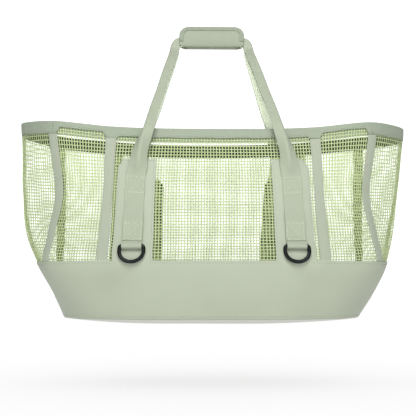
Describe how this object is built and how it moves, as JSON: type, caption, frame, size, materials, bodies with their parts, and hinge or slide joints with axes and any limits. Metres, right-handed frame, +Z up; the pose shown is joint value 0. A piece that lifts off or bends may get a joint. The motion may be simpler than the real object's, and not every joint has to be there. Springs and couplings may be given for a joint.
{
  "type": "tote bag",
  "caption": "Boat-shaped tote bag with a coated cloth base, open net walls, a hemmed rim, webbing straps joined in a padded grip, and hanging D-rings.",
  "frame": {"origin": "middle of the grip's underside, where a hand or hook carries the bag", "axes": "+X to the right along the bag's length as its front is looked at, +Y from front to back, +Z up"},
  "size_m": [0.6297, 0.296, 0.4868],
  "materials": {
    "coated_cloth": "smooth coated cloth",
    "bottom_cloth": "coated cloth",
    "net": "coated open net",
    "hem": "smooth woven tape",
    "strip_webbing": "ribbed webbing",
    "strap_webbing": "woven webbing",
    "grip_cloth": "padded cloth",
    "grip_binding": "folded tape",
    "ring_metal": "gloss black"
  },
  "bodies": {
    "bag": {"base_front": "coated_cloth", "base_back": "coated_cloth", "base_bottom": "bottom_cloth", "net_front": "net", "net_back": "net", "net_left": "net", "net_right": "net", "rim_front": "hem", "rim_back": "hem", "rim_left": "hem", "rim_right": "hem", "strap_front": "strap_webbing", "strap_back": "strap_webbing", "grip_wrap": "grip_cloth", "grip_binding_front": "grip_binding", "grip_binding_back": "grip_binding", "end_strip_left": "strip_webbing", "end_strip_right": "strip_webbing", "side_strip_front_left": "strip_webbing", "corner_strip_front_left": "strip_webbing", "ring_tab_front_left": "strap_webbing", "side_strip_front_right": "strip_webbing", "corner_strip_front_right": "strip_webbing", "ring_tab_front_right": "strap_webbing", "side_strip_back_left": "strip_webbing", "corner_strip_back_left": "strip_webbing", "ring_tab_back_left": "strap_webbing", "side_strip_back_right": "strip_webbing", "corner_strip_back_right": "strip_webbing", "ring_tab_back_right": "strap_webbing"},
    "d_ring_front_left_body": {"d_ring_front_left": "ring_metal"},
    "d_ring_front_right_body": {"d_ring_front_right": "ring_metal"},
    "d_ring_back_left_body": {"d_ring_back_left": "ring_metal"},
    "d_ring_back_right_body": {"d_ring_back_right": "ring_metal"}
  },
  "joints": [
    {"name": "d_ring_front_left_swing", "type": "hinge", "parent": "bag", "child": "d_ring_front_left_body", "pos_m": [-0.12421, -0.1405, -0.33178], "axis": [-0.9951, 0.0985, 0], "range_deg": [0, 150]},
    {"name": "d_ring_front_right_swing", "type": "hinge", "parent": "bag", "child": "d_ring_front_right_body", "pos_m": [0.12421, -0.1405, -0.33178], "axis": [-0.9951, -0.0985, 0], "range_deg": [0, 150]},
    {"name": "d_ring_back_left_swing", "type": "hinge", "parent": "bag", "child": "d_ring_back_left_body", "pos_m": [-0.12421, 0.1405, -0.33178], "axis": [0.9951, 0.0985, 0], "range_deg": [0, 150]},
    {"name": "d_ring_back_right_swing", "type": "hinge", "parent": "bag", "child": "d_ring_back_right_body", "pos_m": [0.12421, 0.1405, -0.33178], "axis": [0.9951, -0.0985, 0], "range_deg": [0, 150]}
  ]
}
